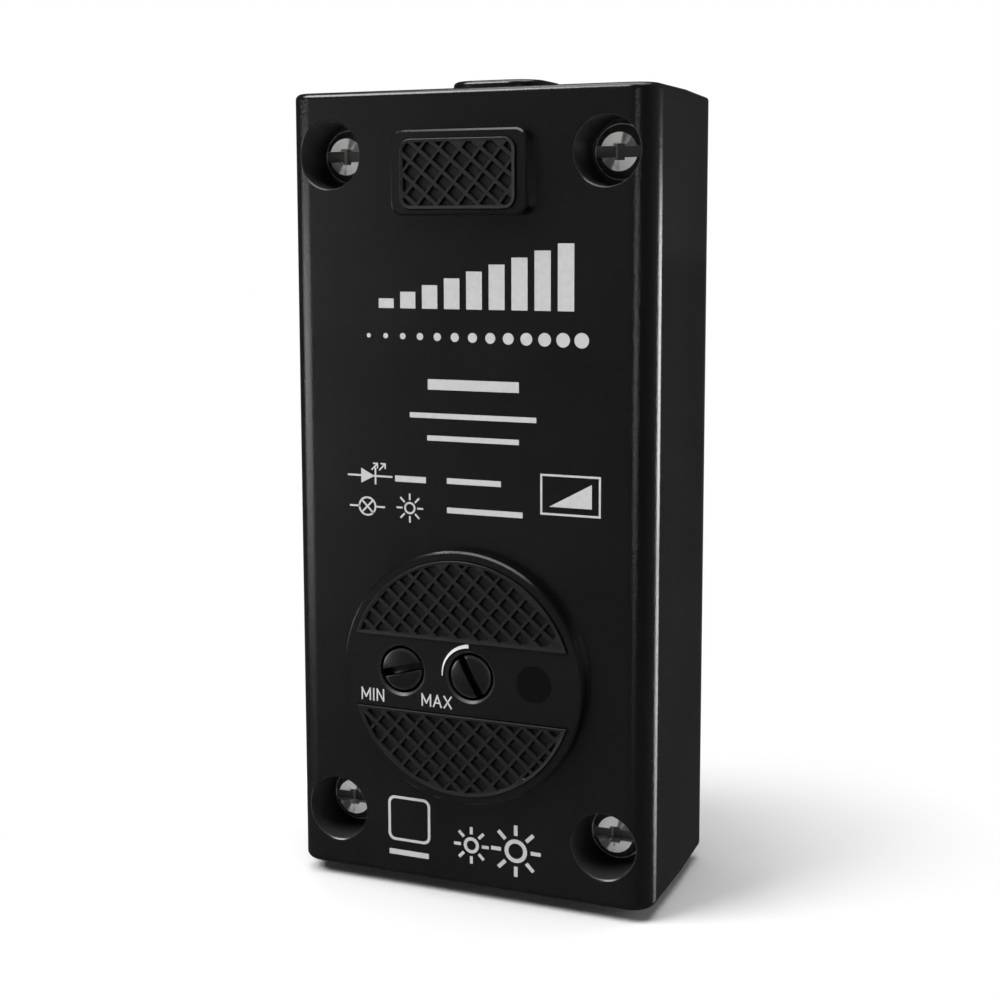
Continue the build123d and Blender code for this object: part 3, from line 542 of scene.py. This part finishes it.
# Print: outlines in X and Z, in millimetres from the body's middle
PRINT_LIFT = 0.02 * MM
PRINT_STEP = 0.002 * MM                    # between strokes that overlap
PRINT_LEVELS = 5
SIGN_LINE = 0.2

RISING_BARS = 9
RISING_LEFT = -9.7
RISING_PITCH = 2.5
RISING_WIDTH = 1.75
RISING_FOOT = 19.6
RISING_FIRST = 1.0                         # height of the first bar, and how much each next one adds
RISING_GROWTH = 0.72

DOTS = 13
DOTS_LEFT = -10.9
DOTS_PITCH = 1.98
DOTS_LEVEL = 16.7
DOTS_FIRST = 0.24                          # radius of the first dot, and how much each next one adds
DOTS_GROWTH = 0.045

# Plain bars, as left, right, low and high
MIDDLE_BARS = ((-4.1, 6.1, 11.2, 12.3), (-6.2, 8.0, 8.2, 8.75), (-4.2, 6.1, 5.85, 6.4))
DIODE_ROW_BARS = ((-8.0, -4.4, 1.3, 1.95), (-2.0, 4.1, 1.4, 2.0))
LAMP_ROW_BAR = (-2.0, 6.5, -1.7, -1.1)
SQUARE_BAR = (-9.1, -4.4, -39.7, -39.1)

DIODE_AT = (-13.5, 1.75)
LAMP_AT = (-11.3, -1.55)
WEDGE = [(9.4, -0.3), (14.0, -0.3), (14.0, 2.2)]
WEDGE_BORDER = (8.55, 14.85, -1.05, 2.95)
WEDGE_BORDER_LINE = 0.22
SQUARE_AT = (-6.7, -35.6)
SQUARE_SIZE = 4.7
SQUARE_CORNER = 0.7
SQUARE_LINE = 0.3

# Suns, as X, Z, the ring's radius, the rays' reach and the line's width
SMALL_SUN = (-6.3, -1.45, 0.55, 1.45, 0.2)
LOW_SUN = (0.6, -37.4, 0.7, 1.85, 0.34)
HIGH_SUN = (5.7, -37.3, 1.05, 2.6, 0.42)

# Words, as X and Z of the lower left corner and the gap between letters
WORDS = {"MIN": (-11.45, -22.25, 0.42), "MAX": (-4.35, -22.2, 0.36)}
LETTER_HEIGHT = 1.2
LETTER_LINE = 0.17

ARC_RADIUS = 3.1
ARC_THICKNESS = (0.08, 0.42)
ARC_ANGLES = (182, 92)


def print_piece(name, shapes, y, material):
    bm = bmesh.new()
    for i, outline in enumerate(shapes):
        height = y - (i % PRINT_LEVELS) * PRINT_STEP
        bm.faces.new([bm.verts.new((x * MM, height, MID_Z + z * MM)) for x, z in outline])
    bmesh.ops.recalc_face_normals(bm, faces=bm.faces)
    wrong = [face for face in bm.faces if face.normal.y > 0]
    bmesh.ops.reverse_faces(bm, faces=wrong)
    bmesh.ops.triangulate(bm, faces=bm.faces)
    return new_piece(name, bm, material, "housing")


def bar(x0, x1, z0, z1):
    return [(x0, z0), (x1, z0), (x1, z1), (x0, z1)]


def stroke(points, width, closed=False):
    """A line of the given width through the points, as one quad for each length."""
    ends = points + points[:1] if closed else points
    quads = []
    for (x0, z0), (x1, z1) in zip(ends, ends[1:]):
        length = math.hypot(x1 - x0, z1 - z0)
        ux, uz = (x1 - x0) / length * width / 2, (z1 - z0) / length * width / 2
        quads.append([(x0 - ux - uz, z0 - uz + ux), (x0 - ux + uz, z0 - uz - ux),
                      (x1 + ux + uz, z1 + uz - ux), (x1 + ux - uz, z1 + uz + ux)])
    return quads


def round_point(x, z, radius, angle):
    return (x + radius * math.cos(angle), z + radius * math.sin(angle))


def disc(x, z, radius, steps=24):
    return [round_point(x, z, radius, 2 * math.pi * i / steps) for i in range(steps)]


def sun(x, z, inner, outer, width, rays=8):
    shapes = stroke(disc(x, z, inner), width, closed=True)
    for i in range(rays):
        a = 2 * math.pi * i / rays
        shapes += stroke([round_point(x, z, inner + 2 * width, a), round_point(x, z, outer, a)], width)
    return shapes


def crescent(x, z, inner, thickness, angles, steps=40):
    """An arc round a centre that grows from one thickness to another, between two angles in degrees."""
    (thin, thick), (start, end) = thickness, angles
    outer, rim = [], []
    for i in range(steps + 1):
        a = math.radians(start + (end - start) * i / steps)
        outer.append(round_point(x, z, inner + thin + (thick - thin) * i / steps, a))
        rim.append(round_point(x, z, inner, a))
    return [[outer[i], outer[i + 1], rim[i + 1], rim[i]] for i in range(steps)]


# Each letter's lines, in shares of its height
GLYPHS = {
    "M": ([(0, 0), (0, 1), (0.4, 0.25), (0.8, 1), (0.8, 0)],),
    "I": ([(0, 0), (0, 1)],),
    "N": ([(0, 0), (0, 1), (0.62, 0), (0.62, 1)],),
    "A": ([(0, 0), (0.36, 1), (0.72, 0)], [(0.12, 0.34), (0.6, 0.34)]),
    "X": ([(0, 0), (0.66, 1)], [(0, 1), (0.66, 0)]),
}


def lettering(text, x, z, gap):
    """A word of plain strokes, whose lower left corner is at x and z."""
    shapes = []
    for letter in text:
        lines = GLYPHS[letter]
        for line in lines:
            shapes += stroke([(x + p * LETTER_HEIGHT, z + q * LETTER_HEIGHT) for p, q in line], LETTER_LINE)
        x += max(p for line in lines for p, q in line) * LETTER_HEIGHT + gap
    return shapes


def diode_sign(x, z):
    """A light-emitting diode as circuit drawings show it."""
    shapes = stroke([(x, z), (x + 5.1, z)], SIGN_LINE)
    shapes.append([(x + 1.5, z + 0.8), (x + 1.5, z - 0.8), (x + 3.1, z)])
    shapes += stroke([(x + 3.2, z - 0.8), (x + 3.2, z + 0.8)], SIGN_LINE)
    thin = SIGN_LINE * 0.8
    for dx in (0.0, 0.9):
        shapes += stroke([(x + 2.8 + dx, z + 0.7), (x + 3.4 + dx, z + 1.3)], thin)
        shapes += stroke([(x + 3.0 + dx, z + 1.35), (x + 3.45 + dx, z + 1.35), (x + 3.45 + dx, z + 0.9)], thin)
    return shapes


def lamp_sign(x, z):
    """A lamp as circuit drawings show it: a circle with a cross, between two leads."""
    radius, lead = 0.95, 2.0
    cross = 0.67                           # where the circle meets its cross
    shapes = stroke(disc(x, z, radius), SIGN_LINE, closed=True)
    for s in (1, -1):
        shapes += stroke([(x - cross, z - cross * s), (x + cross, z + cross * s)], SIGN_LINE)
        shapes += stroke([(x + radius * s, z), (x + lead * s, z)], SIGN_LINE)
    return shapes


def underside_print():
    """Generic signs where the underside is printed: bars, dots and plain pictograms."""
    shapes = []
    for i in range(RISING_BARS):
        x = RISING_LEFT + RISING_PITCH * i
        shapes.append(bar(x, x + RISING_WIDTH, RISING_FOOT, RISING_FOOT + RISING_FIRST + RISING_GROWTH * i))
    for i in range(DOTS):
        shapes.append(disc(DOTS_LEFT + DOTS_PITCH * i, DOTS_LEVEL, DOTS_FIRST + DOTS_GROWTH * i))
    shapes += [bar(*place) for place in MIDDLE_BARS]
    shapes += diode_sign(*DIODE_AT)
    shapes += [bar(*place) for place in DIODE_ROW_BARS]
    shapes += lamp_sign(*LAMP_AT)
    shapes += sun(*SMALL_SUN)
    shapes.append(bar(*LAMP_ROW_BAR))
    shapes += stroke(bar(*WEDGE_BORDER), WEDGE_BORDER_LINE, closed=True)
    shapes.append(WEDGE)
    square = rounded_rectangle(SQUARE_SIZE, SQUARE_SIZE, SQUARE_CORNER, steps=5, centre=SQUARE_AT)
    shapes += stroke(square, SQUARE_LINE, closed=True)
    shapes.append(bar(*SQUARE_BAR))
    shapes += sun(*LOW_SUN)
    shapes += sun(*HIGH_SUN)
    return shapes


def make_print():
    paint = simple("print_grey", (0.49, 0.49, 0.49), (0.53, 0.53, 0.53), 0.5, PLAIN, 0.6 * MM)
    white = simple("print_white", (0.76, 0.76, 0.76), (0.82, 0.82, 0.82), 0.5, PLAIN, 0.6 * MM)
    print_piece("underside_print", underside_print(), BASE_Y - PRINT_LIFT, paint)
    words = [shape for text, place in WORDS.items() for shape in lettering(text, *place)]
    print_piece("trimmer_words", words, BAND_Y - PRINT_LIFT, paint)
    x, z = TRIMMER["max"].x / MM, (TRIMMER["max"].z - MID_Z) / MM
    arc = crescent(x, z, ARC_RADIUS, ARC_THICKNESS, ARC_ANGLES)
    print_piece("trimmer_arc", arc, BAND_Y - PRINT_LIFT, white)


KNOB_RADIUS = 15.4 * MM
POINTER_FROM_RIM = 1.4 * MM
POINTER_LENGTH = 7.5 * MM
POINTER_DEPTH = 0.4 * MM
POINTER_PAINT_HALF = 0.66 * MM
PAINT_MARGIN = 0.05 * MM


def make_pointer():
    """White paint on the floor of the knob's pointer groove."""
    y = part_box("control_knob")[1].y - POINTER_DEPTH + PRINT_LIFT
    end = FOOT_Z + KNOB_RADIUS - POINTER_FROM_RIM - PAINT_MARGIN
    start = end - (POINTER_LENGTH - 2 * PAINT_MARGIN)
    half = POINTER_PAINT_HALF
    bm = bmesh.new()
    bm.faces.new([bm.verts.new(p) for p in ((-half, y, start), (-half, y, end), (half, y, end), (half, y, start))])
    paint = simple("pointer_paint", (0.7, 0.7, 0.69), (0.8, 0.8, 0.79), 0.45, PLAIN, 1 * MM)
    new_piece("knob_pointer", bm, paint, "knob")


# Stage
FLOOR_SIZE = 3.0
FLOOR_CLOUD = 0.6
FLOOR_FADE = (0.028, 0.06)                 # how far from the part the floor turns white to the camera
FLOOR_SLANT = (0.5, 0.75)                  # where it begins to act as a mirror for glossy rays


def make_floor():
    """A pale floor with the part's shadow; glossy rays see it dim from above and as a mirror at a slant."""
    size = FLOOR_SIZE
    mesh = bpy.data.meshes.new("floor")
    mesh.from_pydata([(-size, -size, 0), (size, -size, 0), (size, size, 0), (-size, size, 0)], [], [(0, 1, 2, 3)])
    floor = bpy.data.objects.new("floor", mesh)
    bpy.context.scene.collection.objects.link(floor)
    m = new_material("floor_white")
    m.set(Base_Color=m.blend(m.noise(FLOOR_CLOUD), (0.87, 0.87, 0.87), (0.88, 0.88, 0.88)))
    m.set(Roughness=0.9, Specular_IOR_Level=0.0)
    ray = m.add("ShaderNodeLightPath").outputs
    x, y, _ = m.split()
    away = m.rise(m.reach(x, y), FLOOR_FADE)
    white = m.add("ShaderNodeEmission").outputs[0]
    ground = m.mix(m.product(away, ray["Is Camera Ray"]), m.shader.outputs[0], white)
    dim = m.add("ShaderNodeEmission")
    m.link((0.06, 0.06, 0.06), dim.inputs["Color"])
    mirror = m.add("ShaderNodeBsdfGlossy")
    m.link((0.72, 0.72, 0.72), mirror.inputs["Color"])
    m.link(0.15, mirror.inputs["Roughness"])
    slant = m.add("ShaderNodeLayerWeight").outputs["Facing"]
    reflected = m.mix(m.rise(slant, FLOOR_SLANT), dim.outputs[0], mirror.outputs[0])
    surface = m.mix(ray["Is Glossy Ray"], ground, reflected)
    m.link(surface, m.tree.nodes["Material Output"].inputs["Surface"])
    mesh.materials.append(m.owner)


WORLD_LEVEL = 0.05
WORLD_RIGHT = 0.15                         # more of it, from behind the part's right side
WORLD_BEHIND_Y = (-0.6, 0.3)
WORLD_RIGHT_X = (0.15, 0.9)


def make_world():
    """White to the camera and through clear pieces; a dim studio, paler behind on the right, to the lit surfaces."""
    world = bpy.data.worlds.new("studio")
    bpy.context.scene.world = world
    w = Nodes(world, "Background", "Generated")
    ray = w.add("ShaderNodeLightPath").outputs
    seen = w.math("MAXIMUM", ray["Is Camera Ray"], ray["Is Transmission Ray"])
    x, y, _ = w.split()
    right = w.ramp(y, *WORLD_BEHIND_Y, 0.0, WORLD_RIGHT)
    right = w.ramp(x, *WORLD_RIGHT_X, 0.0, right)
    level = w.math("ADD", right, WORLD_LEVEL)
    w.set(Color=(1.0, 1.0, 1.0), Strength=w.ramp(seen, 0.0, 1.0, level, 1.0))


# Lamps, as azimuth and elevation in degrees, then in metres the distance, width and height, then the radiance,
# and last how high the lamp's lower edge stands above the floor. Azimuth 0 is in front of the underside, and +90
# to its right. With None the lamp is aimed at the part's middle height.
LAMPS = {
    "key_left_top": (-48, 48, 0.9, 0.5, 0.35, 12.5, None),
    "top": (0, 89, 0.9, 0.8, 0.8, 3.8, None),
    "strip_front": (20, 0, 0.8, 0.14, 0.09, 4.5, 0.002),
    "card_back_right": (137.5, 0, 0.203, 0.066, 0.074, 8.5, 0.002),
    "strip_left": (-57, 0, 0.6, 0.42, 0.07, 4.4, 0.002),
    "box_front": (-22, 0, 1.0, 0.7, 0.5, 0.08, 0.01),
    "box_left_front": (-38, 0, 0.95, 0.34, 0.24, 0.3, 0.002),
}


def make_lamps():
    """Soft boxes that face the part."""
    for name, (azimuth, elevation, distance, width, height, radiance, foot) in LAMPS.items():
        a, e = math.radians(azimuth), math.radians(elevation)
        direction = Vector((math.sin(a) * math.cos(e), -math.cos(a) * math.cos(e), math.sin(e)))
        data = bpy.data.lights.new(name, "AREA")
        data.shape = "RECTANGLE"
        data.size = width
        data.size_y = height
        data.energy = radiance * math.pi * width * height
        lamp = bpy.data.objects.new(name, data)
        centre_z = MID_Z if foot is None else foot + height / 2
        lamp.location = Vector((0, 0, centre_z)) + direction * distance
        lamp.rotation_euler = (-direction).to_track_quat("-Z", "Y").to_euler()
        bpy.context.scene.collection.objects.link(lamp)


# Camera, solved from the photograph: the picture is FRAME_PX wide and high
FRAME_PX = 1000
FOCAL_PX = 1663.0
CENTRE_PX = (489.3, 421.5)
SENSOR_MM = 36.0
CAMERA_AT = Vector((68.59 * MM, -168.31 * MM, MID_Z + 28.54 * MM))
YAW = math.radians(22.82)
PITCH = math.radians(6.857)
ROLL = math.radians(-0.175)


def make_camera():
    data = bpy.data.cameras.new("camera")
    data.sensor_width = SENSOR_MM
    data.lens = FOCAL_PX * SENSOR_MM / FRAME_PX
    data.shift_x = (FRAME_PX / 2 - CENTRE_PX[0]) / FRAME_PX
    data.shift_y = (CENTRE_PX[1] - FRAME_PX / 2) / FRAME_PX
    data.clip_start = 0.01
    data.clip_end = 10
    camera = bpy.data.objects.new("camera", data)
    turn = Matrix.Rotation(YAW, 4, "Z") @ Matrix.Rotation(math.pi / 2 - PITCH, 4, "X") @ Matrix.Rotation(ROLL, 4, "Z")
    camera.matrix_world = Matrix.Translation(CAMERA_AT) @ turn
    bpy.context.scene.collection.objects.link(camera)
    bpy.context.scene.camera = camera


def main():
    bpy.context.scene.view_settings.view_transform = "Standard"
    materials = finish_nodes()
    make_pads(materials["pad_rubber"])
    for end in ("min", "max"):
        rounded("trimmer_rotor_" + end, end + "_trimmer")
    make_print()
    make_pointer()
    make_floor()
    make_world()
    make_lamps()
    make_camera()


main()
